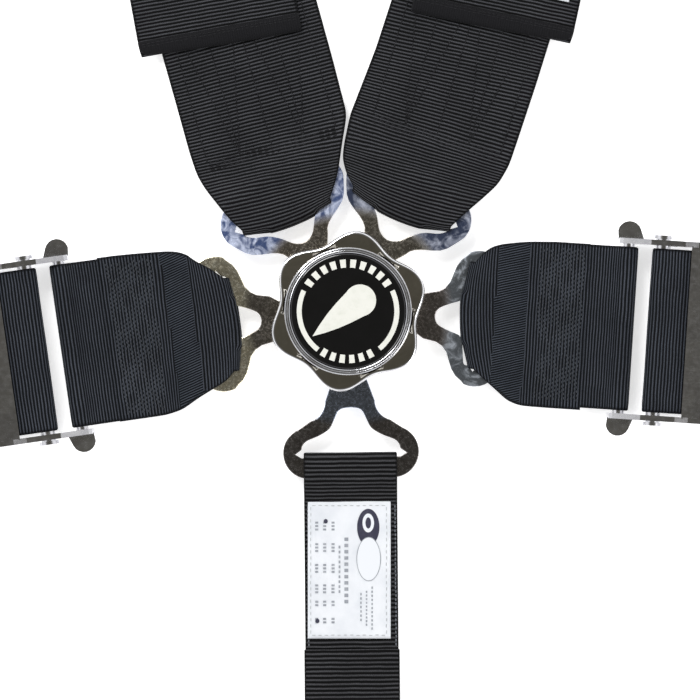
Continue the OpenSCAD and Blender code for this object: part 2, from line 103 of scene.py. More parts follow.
# ---- node helpers
class Nodes:
    def __init__(self, name):
        self.mat = bpy.data.materials.new(name)
        self.mat.use_nodes = True
        self.tree = self.mat.node_tree
        self.tree.nodes.clear()
        self.out = self.tree.nodes.new("ShaderNodeOutputMaterial")
        self.bsdf = self.tree.nodes.new("ShaderNodeBsdfPrincipled")
        self.tree.links.new(self.bsdf.outputs[0], self.out.inputs[0])

    def node(self, kind, **settings):
        n = self.tree.nodes.new("ShaderNode" + kind)
        for k, v in settings.items():
            setattr(n, k, v)
        return n

    def put(self, value, socket):
        if hasattr(value, "is_output"):
            self.tree.links.new(value, socket)
        else:
            socket.default_value = value

    def math(self, op, a, b=0.0, c=0.0):
        n = self.node("Math", operation=op)
        for i, v in enumerate((a, b, c)):
            if i < len(n.inputs):
                self.put(v, n.inputs[i])
        return n.outputs[0]

    def uv(self, layer="UVMap"):
        n = self.node("UVMap", uv_map=layer)
        s = self.node("SeparateXYZ")
        self.put(n.outputs[0], s.inputs[0])
        return n.outputs[0], s.outputs[0], s.outputs[1]

    def coords(self):
        return self.node("TexCoord").outputs["Object"]

    def noise(self, vector, scale, detail=3.0, rough=0.55, distort=0.0):
        n = self.node("TexNoise")
        self.put(vector, n.inputs["Vector"])
        n.inputs["Scale"].default_value = scale
        n.inputs["Detail"].default_value = detail
        n.inputs["Roughness"].default_value = rough
        n.inputs["Distortion"].default_value = distort
        return n.outputs[0]

    def span(self, value, a, b, lo=0.0, hi=1.0, smooth=True):
        n = self.node("MapRange", interpolation_type="SMOOTHSTEP" if smooth else "LINEAR")
        self.put(value, n.inputs[0])
        for i, v in enumerate((a, b, lo, hi)):
            n.inputs[i + 1].default_value = v
        return n.outputs[0]

    def mix(self, f, a, b):
        n = self.node("Mix", data_type="RGBA")
        self.put(f, n.inputs[0])
        for v, s in ((a, n.inputs[6]), (b, n.inputs[7])):
            self.put((*v, 1) if isinstance(v, tuple) else v, s)
        return n.outputs[2]

    def bump(self, height, strength, distance, normal=None):
        n = self.node("Bump")
        n.inputs["Strength"].default_value = strength
        n.inputs["Distance"].default_value = distance
        self.put(height, n.inputs["Height"])
        if normal is not None:
            self.put(normal, n.inputs["Normal"])
        return n.outputs[0]

    def set(self, **sockets):
        for k, v in sockets.items():
            s = self.bsdf.inputs[k.replace("_", " ")]
            self.put((*v, 1) if isinstance(v, tuple) and len(v) == 3 and s.type == "RGBA" else v, s)


def webbing_material(name, pitch, ridge, valley, tint=(0.5, 0.5, 0.5)):
    """Cross-ribbed webbing: ribs across the strap whose tops carry a painted highlight, warp yarns along it,
    and darker woven edges where that painted highlight is cut back.
    """
    m = Nodes(name)
    uv, u, v = m.uv()
    _, t, _ = m.uv("Edge")
    wander = m.math("MULTIPLY", m.math("SUBTRACT", m.noise(uv, 90, 2), 0.5), 0.0007)
    v2 = m.math("ADD", v, wander)
    phase = m.math("MULTIPLY", v2, 2 * math.pi / pitch)
    rib = m.math("MULTIPLY_ADD", m.math("COSINE", phase), 0.5, 0.5)
    rib_row = m.math("FLOOR", m.math("DIVIDE", v2, pitch))
    yarn_phase = m.math("ADD", m.math("MULTIPLY", u, 2 * math.pi / YARN_PITCH),
                        m.math("MULTIPLY", rib_row, math.pi))
    yarn = m.math("MULTIPLY_ADD", m.math("COSINE", yarn_phase), 0.5, 0.5)
    patch = m.noise(uv, 45, 4, 0.6)
    fuzz = m.noise(uv, 1600, 3, 0.7)
    edge = m.span(m.math("ABSOLUTE", t), 0.955, 0.985)
    top = m.span(rib, 0.3, 0.95)
    # painted highlight on the rib tops, broken by the yarns, patches and fuzz and cut back near the edges:
    # the ridge colour is this highlight, the valley colour the webbing's own black
    painted_rib_highlight = m.math("MULTIPLY", top, m.math("MULTIPLY_ADD", yarn, 0.35, 0.62))
    painted_rib_highlight = m.math("MULTIPLY", painted_rib_highlight, m.span(patch, 0.25, 0.75, 0.72, 1.15))
    painted_rib_highlight = m.math("MULTIPLY", painted_rib_highlight, m.span(fuzz, 0.3, 0.7, 0.75, 1.2))
    painted_rib_highlight = m.math("MULTIPLY", painted_rib_highlight, m.math("SUBTRACT", 1.0, m.math("MULTIPLY", edge, 0.8)))
    colour = m.mix(painted_rib_highlight, valley, ridge)
    height = m.math("ADD", top, m.math("MULTIPLY", yarn, 0.22))
    height = m.math("ADD", height, m.math("MULTIPLY", fuzz, 0.15))
    m.set(Base_Color=colour, Roughness=m.span(painted_rib_highlight, 0, 1, 0.85, 0.55), Normal=m.bump(height, 0.8, 0.00035),
          Specular_IOR_Level=0.12, Sheen_Weight=0.03, Sheen_Roughness=0.5, Sheen_Tint=tint)
    return m.mat


def thread_material(name, colour, light):
    m = Nodes(name)
    c = m.coords()
    twist = m.noise(c, 2500, 2)
    m.set(Base_Color=m.mix(twist, colour, light), Roughness=0.6, Normal=m.bump(twist, 0.5, 0.0002),
          Sheen_Weight=0.02, Specular_IOR_Level=0.2)
    return m.mat


def cloth_material(name, colour, shade):
    """Fine plain weave, pressed nearly flat."""
    m = Nodes(name)
    uv, u, v = m.uv()
    wu = m.math("SINE", m.math("MULTIPLY", u, 2 * math.pi / 0.0005))
    wv = m.math("SINE", m.math("MULTIPLY", v, 2 * math.pi / 0.0005))
    weave = m.math("MULTIPLY", wu, wv)
    dirt = m.noise(uv, 60, 4)
    m.set(Base_Color=m.mix(m.span(dirt, 0.35, 0.8), colour, shade), Roughness=0.75,
          Normal=m.bump(m.math("ADD", weave, m.noise(uv, 220, 3)), 0.35, 0.0001), Sheen_Weight=0.1)
    return m.mat


def hem_material():
    """Webbing folded under and pressed: only its yarns show."""
    m = Nodes("pressed_hem")
    uv, u, v = m.uv()
    n = m.noise(uv, 900, 4, 0.7)
    yarn = m.math("MULTIPLY_ADD", m.math("COSINE", m.math("MULTIPLY", u, 2 * math.pi / 0.0011)), 0.5, 0.5)
    h = m.math("ADD", n, m.math("MULTIPLY", yarn, 0.5))
    colour = m.mix(m.math("MULTIPLY", h, 0.6), (0.0015, 0.0015, 0.002), (0.010, 0.010, 0.012))
    m.set(Base_Color=colour, Roughness=0.8, Normal=m.bump(h, 0.6, 0.0003), Sheen_Weight=0.03,
          Specular_IOR_Level=0.15)
    return m.mat


def metal_material(name, colour, other, rough, blotch, dent, dent_scale):
    """Plated metal: colour drifts between two tones, with soft dents and fine scratches."""
    m = Nodes(name)
    c = m.coords()
    drift = m.noise(c, blotch, 4, 0.6, 0.8)
    grime = m.noise(c, 350, 4, 0.65)
    stretch = m.node("Mapping")
    stretch.inputs["Scale"].default_value = (1, 14, 14)
    stretch.inputs["Rotation"].default_value = (0, 0, 0.6)
    m.put(c, stretch.inputs[0])
    line = m.noise(stretch.outputs[0], 260, 3, 0.7)
    wave = m.noise(c, dent_scale, 2, 0.5)
    bump = m.bump(wave, 0.6, dent)
    bump = m.bump(line, 0.25, 0.00006, bump)
    m.set(Base_Color=m.mix(m.span(drift, 0.35, 0.65), colour, other), Metallic=1.0,
          Roughness=m.span(m.math("ADD", m.math("MULTIPLY", grime, 0.6), m.math("MULTIPLY", line, 0.4)),
                           0.3, 0.7, *rough), Normal=bump)
    return m.mat


def tongue_material(name, neck, dark, light, reach, relief, coarse, streak=(0.42, 0.6), painted_diffuse_share=0.0):
    """Plated tongue: an even neck with a painted reflection tint, and ears mottled with painted reflections
    and highlights.
    """
    m = Nodes(name)
    c = m.coords()
    flat = m.node("VectorMath", operation="MULTIPLY")
    m.put(c, flat.inputs[0])
    flat.inputs[1].default_value = (1, 1, 0)
    far = m.node("VectorMath", operation="LENGTH")
    m.put(flat.outputs[0], far.inputs[0])
    ear = m.span(far.outputs["Value"], reach - 0.003, reach + 0.003)
    crinkle_and_painted_mottle = m.noise(c, coarse, 3, 0.55, 1.2)
    fine = m.noise(c, 900, 3, 0.6, 0.5)
    # painted reflections and highlights on the ears: a noise mottle between a dark and a light tone
    ear_reflection = m.mix(m.span(crinkle_and_painted_mottle, *streak), dark, light)
    base = m.mix(m.span(fine, 0.3, 0.7), tuple(x * 0.8 for x in neck), neck)
    bump = m.bump(m.math("MULTIPLY", crinkle_and_painted_mottle, ear), 0.4, relief)
    # on the ears part of the painted reflection shows as diffuse colour instead of metal
    metal = m.math("SUBTRACT", 1.0, m.math("MULTIPLY", ear, painted_diffuse_share))
    m.set(Base_Color=m.mix(ear, base, ear_reflection), Metallic=metal, Roughness=m.span(fine, 0.3, 0.7, 0.14, 0.3),
          Normal=m.bump(fine, 0.12, 0.00005, bump))
    return m.mat


def plain_steel_material(name, colour, rough):
    m = Nodes(name)
    c = m.coords()
    n = m.noise(c, 500, 4, 0.7)
    m.set(Base_Color=m.mix(n, colour, tuple(x * 0.7 for x in colour)), Metallic=1.0,
          Roughness=m.span(n, 0.3, 0.7, rough, rough + 0.2), Normal=m.bump(n, 0.2, 0.0001))
    return m.mat


def gloss_material(name, colour):
    m = Nodes(name)
    c = m.coords()
    n = m.noise(c, 120, 4, 0.6)
    fine = m.noise(c, 1500, 3, 0.6)
    m.set(Base_Color=m.mix(n, colour, tuple(x * 1.6 + 0.002 for x in colour)),
          Roughness=m.span(fine, 0.3, 0.7, 0.06, 0.16), Normal=m.bump(n, 0.15, 0.0002),
          Coat_Weight=0.5, Coat_Roughness=0.05)
    return m.mat


def print_material(name, colour, shade):
    m = Nodes(name)
    c = m.coords()
    n = m.noise(c, 300, 4, 0.6)
    m.set(Base_Color=m.mix(m.span(n, 0.4, 0.8), colour, shade), Roughness=0.4, Normal=m.bump(n, 0.2, 0.0001))
    return m.mat


BLACK_VALLEY, COOL_VALLEY, COOL_SHEEN = (0.001, 0.001, 0.0012), (0.002, 0.0024, 0.0034), (0.4, 0.45, 0.55)
# the ridge colours are painted rib highlights, bluish on the lap webbing and twill; the valley colours are
# the webbing's own black
WEBBING = webbing_material("ribbed_webbing", 0.00166, (0.07, 0.072, 0.08), BLACK_VALLEY)
CROTCH_WEBBING = webbing_material("ribbed_webbing_narrow", 0.0020, (0.062, 0.063, 0.068), BLACK_VALLEY)
LAP_WEBBING = webbing_material("ribbed_webbing_lap", 0.00146, (0.062, 0.071, 0.088), COOL_VALLEY, COOL_SHEEN)
TWILL = webbing_material("gathered_twill", 0.00115, (0.062, 0.073, 0.092), COOL_VALLEY, COOL_SHEEN)
HEM = hem_material()
THREAD = thread_material("black_thread", (0.002, 0.002, 0.003), (0.012, 0.012, 0.014))
BLOCK_THREAD = thread_material("block_thread", (0.014, 0.016, 0.02), (0.07, 0.078, 0.088))
LIGHT_THREAD = thread_material("grey_thread", (0.09, 0.1, 0.115), (0.2, 0.21, 0.23))
LABEL_THREAD = thread_material("label_thread", (0.35, 0.37, 0.39), (0.6, 0.62, 0.62))
LABEL = cloth_material("woven_label", (0.77, 0.79, 0.82), (0.64, 0.67, 0.71))
INK = print_material("label_ink", (0.28, 0.3, 0.33), (0.45, 0.47, 0.5))
DARK_INK = print_material("label_dark_ink", (0.035, 0.035, 0.06), (0.06, 0.06, 0.09))
BADGE = gloss_material("badge_black", (0.0022, 0.0022, 0.0024))
BADGE_PRINT = print_material("badge_print", (0.74, 0.74, 0.68), (0.66, 0.67, 0.6))
KNOB_CHROME = metal_material("knob_chrome", (0.72, 0.68, 0.6), (0.6, 0.57, 0.5),
                             (0.04, 0.16), 60, 0.0003, 30)
BEZEL_CHROME = metal_material("bezel_chrome", (0.66, 0.67, 0.7), (0.5, 0.5, 0.52),
                              (0.05, 0.18), 90, 0.0004, 60)
# a brighter copy of the knob chrome for its rounded rim: a painted highlight
LIP_HIGHLIGHT_CHROME = metal_material("lip_chrome_highlight", (0.92, 0.92, 0.93), (0.8, 0.8, 0.82),
                            (0.08, 0.2), 60, 0.0002, 40)
HARDWARE = metal_material("hardware_chrome", (0.78, 0.78, 0.8), (0.66, 0.66, 0.69),
                          (0.1, 0.25), 90, 0.0003, 40)
ZINC = metal_material("bracket_zinc", (0.42, 0.43, 0.44), (0.32, 0.34, 0.37),
                      (0.26, 0.46), 160, 0.0003, 60)
# each tongue gets its own neck tint and ear tones: painted reflections of the room on one and the same
# chrome
BLUE_REFLECTION_CHROME = tongue_material("tongue_chrome_blue_reflection", (0.46, 0.42, 0.37), (0.06, 0.09, 0.2), (0.6, 0.66, 0.84),
                              0.0445, 0.0010, 170, (0.36, 0.66), 0.75)
SLATE_REFLECTION_CHROME = tongue_material("tongue_chrome_slate_reflection", (0.46, 0.43, 0.38), (0.035, 0.045, 0.08),
                               (0.42, 0.45, 0.54), 0.047, 0.0010, 150, (0.38, 0.72), 0.75)
OLIVE_REFLECTION_CHROME = tongue_material("tongue_chrome_olive_reflection", (0.36, 0.33, 0.3), (0.9, 0.84, 0.66), (1.0, 0.96, 0.8),
                               0.0475, 0.0003, 300)
GREY_REFLECTION_CHROME = tongue_material("tongue_chrome_grey_reflection", (0.34, 0.31, 0.3), (0.1, 0.11, 0.12), (0.5, 0.54, 0.6),
                              0.0465, 0.0010, 140, (0.46, 0.74), 0.5)
BLACK_REFLECTION_CHROME = tongue_material("tongue_chrome_black_reflection", (0.36, 0.41, 0.52), (0.2, 0.185, 0.18),
                               (0.26, 0.245, 0.24), 0.0515, 0.0002, 160)
CAST = plain_steel_material("housing_metal", (0.5, 0.5, 0.5), 0.35)
STEEL = plain_steel_material("plain_steel", (0.5, 0.5, 0.5), 0.25)
SPRING = plain_steel_material("spring_steel", (0.32, 0.32, 0.34), 0.3)

# ---- meshes


def make(name, verts, faces, material, uvs=None, edges=None, smooth=True):
    me = bpy.data.meshes.new(name)
    me.from_pydata([tuple(v) for v in verts], [], faces)
    me.update()
    if uvs is not None:
        for layer, values in (("UVMap", uvs), ("Edge", edges)):
            if values is None:
                continue
            data = me.uv_layers.new(name=layer).data
            for poly in me.polygons:
                for li in poly.loop_indices:
                    data[li].uv = values[me.loops[li].vertex_index]
    o = bpy.data.objects.new(name, me)
    bpy.context.collection.objects.link(o)
    me.materials.append(material)
    me.polygons.foreach_set("use_smooth", [smooth] * len(me.polygons))
    return o


def even(rows, step):
    """Rows of three points, with more rows put between them so none are further apart than step."""
    out = []
    for a, b in zip(rows, rows[1:]):
        d = max((Vector(q) - Vector(p)).length for p, q in zip(a, b))
        n = max(1, math.ceil(d / step))
        for i in range(n):
            out.append([Vector(p).lerp(Vector(q), i / n) for p, q in zip(a, b)])
    out.append([Vector(p) for p in rows[-1]])
    return out


def relaxed(rows, times):
    for _ in range(times):
        rows = [rows[0]] + [[a.lerp(c, 0.5).lerp(b, 0.5) for a, b, c in zip(r0, r1, r2)]
                            for r0, r1, r2 in zip(rows, rows[1:], rows[2:])] + [rows[-1]]
    return rows


def across(row, t):
    """Point at t from -1 (right) to 1 (left) on the curve through a row's three points."""
    r, m, l = row
    return r * (t * (t - 1) / 2) + m * (1 - t * t) + l * (t * (t + 1) / 2)


def cloth_mesh(rows, cols, thick, height=None, relief=None):
    """Vertices, faces and coordinates of a strap through rows of (right, middle, left) points."""
    ts = [-math.cos(math.pi * i / cols) if i in (0, cols) else -1 + 2 * i / cols for i in range(cols + 1)]
    ts[1:2] = [-0.985, ts[1]]
    ts[-2:-1] = [ts[-2], 0.985]
    n = len(ts)
    grid = [[across(r, t) for t in ts] for r in rows]
    if height is not None:
        for i, r in enumerate(grid):
            for p in r:
                p.z = height(p, i)
    verts, uvs, edges, faces = [], [], [], []
    v, count = 0.0, len(grid)
    for i in range(count):
        if i:
            v += (grid[i][n // 2] - grid[i - 1][n // 2]).length
        middle = grid[i][n // 2]
        ring = []
        for j in range(n):
            along = grid[min(i + 1, count - 1)][j] - grid[max(i - 1, 0)][j]
            side = grid[i][min(j + 1, n - 1)] - grid[i][max(j - 1, 0)]
            normal = side.cross(along).normalized()
            t = ts[j]
            half = thick / 2 * (0.0 if abs(t) == 1 else 0.86 if abs(t) > 0.98 else 1)
            here = grid[i][j]
            u = math.copysign((here - middle).length, t)
            p = here + normal * (relief(here, u, v, t) if relief else 0)
            ring.append((p + normal * half, p - normal * half, u, t))
        order = [(j, 0) for j in range(n)] + [(j, 1) for j in range(n - 2, 0, -1)]
        for j, side_of in order:
            a = ring[j]
            verts.append(a[side_of] * MM)
            uvs.append((a[2] * MM, v * MM))
            edges.append((a[3], 0))
    k = 2 * n - 2
    for i in range(count - 1):
        for j in range(k):
            faces.append((i * k + j, i * k + (j + 1) % k, (i + 1) * k + (j + 1) % k, (i + 1) * k + j))
    faces.append(tuple(reversed(range(k))))
    faces.append(tuple(range((count - 1) * k, count * k)))
    return verts, faces, uvs, edges


def outward(o, sharp=None):
    """Point a closed mesh's faces outwards, and mark the edges that turn more than sharp degrees."""
    bm = bmesh.new()
    bm.from_mesh(o.data)
    bmesh.ops.recalc_face_normals(bm, faces=bm.faces)
    if sharp is not None:
        for edge in bm.edges:
            if len(edge.link_faces) == 2 and edge.calc_face_angle(0) > math.radians(sharp):
                edge.smooth = False
    bm.to_mesh(o.data)
    bm.free()


def attach(o, body, replaced=()):
    """Say what a piece rides on and which CAD nodes it stands for."""
    if body:
        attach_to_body(o, body)
    if replaced:
        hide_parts(*replaced)
    return o


def belt(name, parts, material, body, replaced=()):
    """One strap made of one or more cloth meshes. Without a body, it is attached to none."""
    verts, faces, uvs, edges = [], [], [], []
    for pv, pf, pu, pe in parts:
        base = len(verts)
        verts += pv
        faces += [tuple(i + base for i in f) for f in pf]
        uvs += pu
        edges += pe
    o = make(name, verts, faces, material, uvs, edges)
    outward(o)
    return attach(o, body, replaced)


def level_rows(place, path, width, step=2.0):
    """Rows of a strap of even width that follows a path in x and z of a place."""
    h = width / 2
    return even([[spot(place, x, -h, z), spot(place, x, 0, z), spot(place, x, h, z)] for x, z in path], step)


def arc(cx, cy, r, a, b, n=10):
    """Points on an arc from angle a to angle b."""
    angles = [math.radians(a + (b - a) * i / n) for i in range(n + 1)]
    return [(cx + r * math.cos(w), cy + r * math.sin(w)) for w in angles]


def ripple(amount, scale, seed=0.0):
    """Slow unevenness of a cloth's surface."""
    def f(p, u, v, t):
        return amount * noise.noise(Vector((u / scale, v / scale, seed)))
    return f


def stitch_mesh(lines, pitch, length, radius, z=None, jitter=0.12):
    """Small rounded threads along lines of points, lying on the surface."""
    verts, faces = [], []
    for line in lines:
        pts = [Vector(p) for p in line]
        for a, b in zip(pts, pts[1:]):
            d = b - a
            n = max(1, round(d.length / pitch))
            dirn = d.normalized()
            side = Vector((-dirn.y, dirn.x, 0))
            if side.length < 0.1:
                side = Vector((1, 0, 0))
            side.normalize()
            up = dirn.cross(side) * -1
            if up.z < 0:
                up = -up
            for i in range(n):
                c = a + d * ((i + 0.5) / n) + side * random.uniform(-jitter, jitter)
                if z is not None:
                    c.z = z(c)
                base = len(verts)
                profile = [(-0.5, 0.25), (-0.38, 0.8), (0.0, 1.0), (0.38, 0.8), (0.5, 0.25)]
                for s, k in profile:
                    for q in range(6):
                        w = math.radians(60 * q)
                        verts.append((c + dirn * (s * length) + side * (k * radius * math.cos(w))
                                      + up * (k * radius * math.sin(w) * 0.8)) * MM)
                for r in range(4):
                    for q in range(6):
                        faces.append((base + r * 6 + q, base + r * 6 + (q + 1) % 6,
                                      base + (r + 1) * 6 + (q + 1) % 6, base + (r + 1) * 6 + q))
                faces.append(tuple(base + q for q in reversed(range(6))))
                faces.append(tuple(base + 24 + q for q in range(6)))
    return verts, faces


def stitches(name, lines, body, material=THREAD, pitch=2.6, length=2.2, radius=0.32, z=None):
    attach(make(name, *stitch_mesh(lines, pitch, length, radius, z), material), body)


# ---- webbing at the tongues


def loop_heights(angle):
    """Heights of the upper and lower ply as they close behind the tongue's bar."""
    top = [(12.3, 8.4), (15, 6.6), (22, 3.9), (30, 2.1)]
    low = [(12.3, 2.6), (16, 3.4), (22, 2.2), (30, 0.7)]
    return lambda p: ramp(tongue_u(angle, p), top), lambda p: ramp(tongue_u(angle, p), low)


def folded_ply(rows, angle, cols, relief, side):
    """A ply that ends in a fold round the bar: side 1 is the upper ply and -1 the lower one."""
    upper, lower = loop_heights(angle)
    flat = upper if side > 0 else lower
    radius, middle, bend = 2.9, 5.5, 8
    rows = relaxed(even(rows, 1.6), 6)
    count = len(rows)
    forward = (rows[-1][1] - rows[-4][1])
    forward.z = 0
    forward.normalize()
    for k in range(1, bend + 1):
        rows.append([p + forward * 0.01 * k for p in rows[count - 1]])

    def height(p, i):
        if i < count:
            return flat(p)
        # the fold goes all the way down inside the window and only onto the arms beside it
        v = abs(tongue_v(angle, p))
        drop = radius if v < 10 else radius - (radius - 0.75) * soft(10, 13, v)
        full = math.acos(max(-1, min(1, 1 - drop / radius)))
        a = full * ((i - count + 1) / bend)
        p.x += forward.x * radius * math.sin(a)
        p.y += forward.y * radius * math.sin(a)
        return middle + side * radius * math.cos(a)
    return cloth_mesh(rows, cols, PLY, height, relief)


def outline_rows(place, keys):
    """Rows from (right, left, forward bulge) in a place's own x and y."""
    rows = []
    for (rx, ry), (lx, ly), bulge in keys:
        middle = spot(place, (rx + lx) / 2 + bulge, (ry + ly) / 2, 0)
        rows.append([spot(place, rx, ry, 0), middle, spot(place, lx, ly, 0)])
    return rows


def zigzag(x0, x1):
    """Zigzag stitching: long lines, diagonals between them and a dense row across the end."""
    ys = (-31, -15.5, 0, 15.5, 31)
    lines = [[(x0, y), (x1, y)] for y in ys]
    for i, (a, c) in enumerate(zip(ys, ys[1:])):
        lines.append([(x0, a), (x1, c)] if i % 2 == 0 else [(x1, a), (x0, c)])
    return lines + [[(x1 - k * 1.7, ys[0]), (x1 - k * 1.7, ys[-1])] for k in range(3)]


# under the frame of an adjuster, up round its sliding bar and back over the top
THROUGH_ADJUSTER = [(-36, 0.7), (-22, 6), (-14, 6), (-8, 4.5)] + arc(0, 9, 4.5, -90, 90, 12)[1:]
THROUGH_ADJUSTER += [(-8, 13.5), (-16, 13.3)]


def shoulder(side, place, angle, keys, stitch_end):
    """Shoulder belt from its tongue to its adjuster, and the stitching of its loop."""
    body = f"{side}_shoulder"
    top = folded_ply(outline_rows(place, keys), angle, 64, ripple(0.35, 22, 1.7), 1)
    low = folded_ply(outline_rows(place, keys), angle, 24, None, -1)
    single = level_rows(place, [(-114, 2.1), (-108, 0.9), (-100, 0.7)] + THROUGH_ADJUSTER, WEB, 1.6)
    belt(f"{body}_webbing", [top, low, cloth_mesh(single, 28, PLY, None, ripple(0.25, 25, 3.1))], WEBBING,
         body, (f"{body}_belt",))
    upper, _ = loop_heights(angle)
    lines = [[spot(place, x, y, 0) for x, y in line] for line in zigzag(-120, stitch_end)]
    fine = [[row[0] for row in even([[p] * 3 for p in line], 3.0)] for line in lines]
    stitches(f"{body}_loop_stitching", fine, body, z=lambda c: upper(c) + PLY / 2 + 0.05)


# outlines of the loops: right edge, left edge and how far the middle bulges forward
LS_KEYS = [((-114, -38.1), (-114, 38.1), 0), ((-160, -38.1), (-160, 37.9), 0),
           ((-188, -37.6), (-186, 37.9), 0), ((-201.9, -31.2), (-197, 37.3), 0),
           ((-208, -28.6), (-204, 35.4), 0.3), ((-214, -25.9), (-212, 32.0), 0),
           ((-219.3, -22.6), (-220.5, 28.3), -1.5), ((-223.6, -19.6), (-227.4, 24.0), -2.8)]
RS_KEYS = [((-114, -37.6), (-114, 38.1), 0), ((-160, -37.4), (-166, 39.0), 0),
           ((-186, -36.8), (-188, 40.6), 0), ((-200, -36.4), (-199, 41.4), 0),
           ((-210, -34.0), (-213, 40.1), 0), ((-218, -29.2), (-219.6, 38.8), -1),
           ((-227.5, -23.2), (-225.5, 35.2), -2), ((-235.2, -18.8), (-230.6, 30.2), -3.6)]
shoulder("left", LEFT_CHEST, LEFT_SHOULDER, LS_KEYS, -193)
shoulder("right", RIGHT_CHEST, RIGHT_SHOULDER, RS_KEYS, -196)

# ---- tails


def turned(x, y, deg):
    a = math.radians(deg)
    return x * math.cos(a) - y * math.sin(a), x * math.sin(a) + y * math.cos(a)


def tail(body, place, skew, material, corner):
    """A loose end folded back over its adjuster, whose hem has one corner cut, left 1 or right -1."""
    length, half = 113.0, WEB / 2

    def point(d, y, z):
        """A point d back from the fold."""
        x, y = turned(-d, y, skew)
        return spot(place, TAIL_FOLD + x, y, z)
    path = [(-16, 13.3), (-22, 12.3), (-28, 11), (-34, 9.2), (-44, 6.3), (-52, 4.4), (-58, 3.9)]
    rows = [[spot(place, x, y, z) for y in (-half, 0, half)] for x, z in path]
    for d in (36, 60, 90, 104, 109, length):
        taper = 0.985 if d == length else 1
        rows.append([point(d, y * taper, 3.8 + (0.3 if 105 < d < 111 else 0)) for y in (-half, 0, half)])
    cloth = cloth_mesh(relaxed(even(rows, 1.6), 2), 48, PLY, None, ripple(0.3, 30, 5.5))
    hem_rows = []
    for d, z in ((106.0, 4.6), (106.6, 5.05), (107.4, 5.2), (109, 5.25), (111, 5.15), (112.5, 4.85),
                 (113.3, 4.2), (113.6, 3.8)):
        cut = 0 if d < 108 else (d - 108) ** 2 * 0.09
        hem_rows.append([point(d - cut * 0.6, y - math.copysign(cut, y), z)
                         if y and (y > 0) == (corner > 0) else point(d, y, z) for y in (-half, 0, half)])
    hem = cloth_mesh(even(hem_rows, 1.2), 48, 1.1, None, ripple(0.15, 12, 2.2))
    o = belt(f"{body}_webbing", [cloth], material, None, (body,))
    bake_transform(o)
    belt(f"{body}_hem", [hem], HEM, body)
    lines = [[point(d, 1.5 - half, 5.75), point(d, half - 1.5, 5.75)] for d in (107.3, 108.4)]
    stitches(f"{body}_hem_stitching", lines, body, pitch=2.2, length=1.8, radius=0.3)


tail("left_shoulder_tail", LEFT_CHEST, LEFT_SKEW, WEBBING, 1)
tail("right_shoulder_tail", RIGHT_CHEST, RIGHT_SKEW, WEBBING, -1)
tail("left_lap_tail", LEFT_HIP, 2, LAP_WEBBING, 1)
tail("right_lap_tail", RIGHT_HIP, -3, LAP_WEBBING, -1)

# ---- upper belts, lap belts and the crotch belt


def sewn_box(place, x0, x1, half, z):
    """A square of stitching with a cross in it, 3 mm inside the belt's edges."""
    a, b = 3.0 - half, half - 3.0
    square, diagonal = [(x0, a), (x1, a), (x1, b), (x0, b), (x0, a), (x1, b)], [(x1, a), (x0, b)]
    return [[spot(place, x, y, z) for x, y in line] for line in (square, diagonal)]


def bracket_loop(end, stop):
    """Up from the lower ply and round the bar of a bracket, as far as the angle stop."""
    return [(end - 22, 2.1), (end - 12, 3.6), (end - 6, 6.4)] + arc(end, 5.1, 4.4, 140, stop, 16)


def upper_belt(side, place):
    name, body = f"{side}_upper_belt", f"{side}_upper"
    end = 16 + UPPER_RUN
    top = level_rows(place, arc(16, 6, 4, 200, 30, 14) + [(23, 5.2), (28, 3.0), (34, 2.1)]
                     + bracket_loop(end, -60), WEB, 2.4)
    low = level_rows(place, [(14, 2.2), (17, 2.0), (24, 1.6), (30, 0.7), (end - 16, 0.7), (end - 6, 1.0),
                             (end, 0.8)], WEB, 4)
    parts = [cloth_mesh(top, 28, PLY, None, ripple(0.3, 28, 4.2)), cloth_mesh(low, 16, PLY)]
    belt(f"{name}_webbing", parts, WEBBING, body, (name,))
    boxes = sewn_box(place, 33, 75, WEB / 2, 2.95) + sewn_box(place, end - 68, end - 26, WEB / 2, 2.95)
    stitches(f"{name}_stitching", boxes, body)


upper_belt("left", LEFT_CHEST)
upper_belt("right", RIGHT_CHEST)


def lap_belt(side, place):
    name, body = f"{side}_lap_belt", f"{side}_lap_outer"
    end = -LAP_RUN
    path = arc(end, 5.1, 4.4, 240, 40, 16) + [(end + 8, 6.2), (end + 14, 3.2), (end + 20, 2.1),
                                              (end + 58, 2.1), (end + 66, 0.7)] + THROUGH_ADJUSTER
    low = level_rows(place, [(end, 0.8), (end + 6, 1.0), (end + 16, 0.7), (end + 60, 0.7)], WEB, 4)
    top = cloth_mesh(level_rows(place, path, WEB, 2.4), 28, PLY, None, ripple(0.3, 28, 6.1))
    belt(f"{name}_webbing", [top, cloth_mesh(low, 16, PLY)], LAP_WEBBING, body, (name,))
    stitches(f"{name}_stitching", sewn_box(place, end + 24, end + 56, WEB / 2, 2.95), body)


lap_belt("left", LEFT_HIP)
lap_belt("right", RIGHT_HIP)


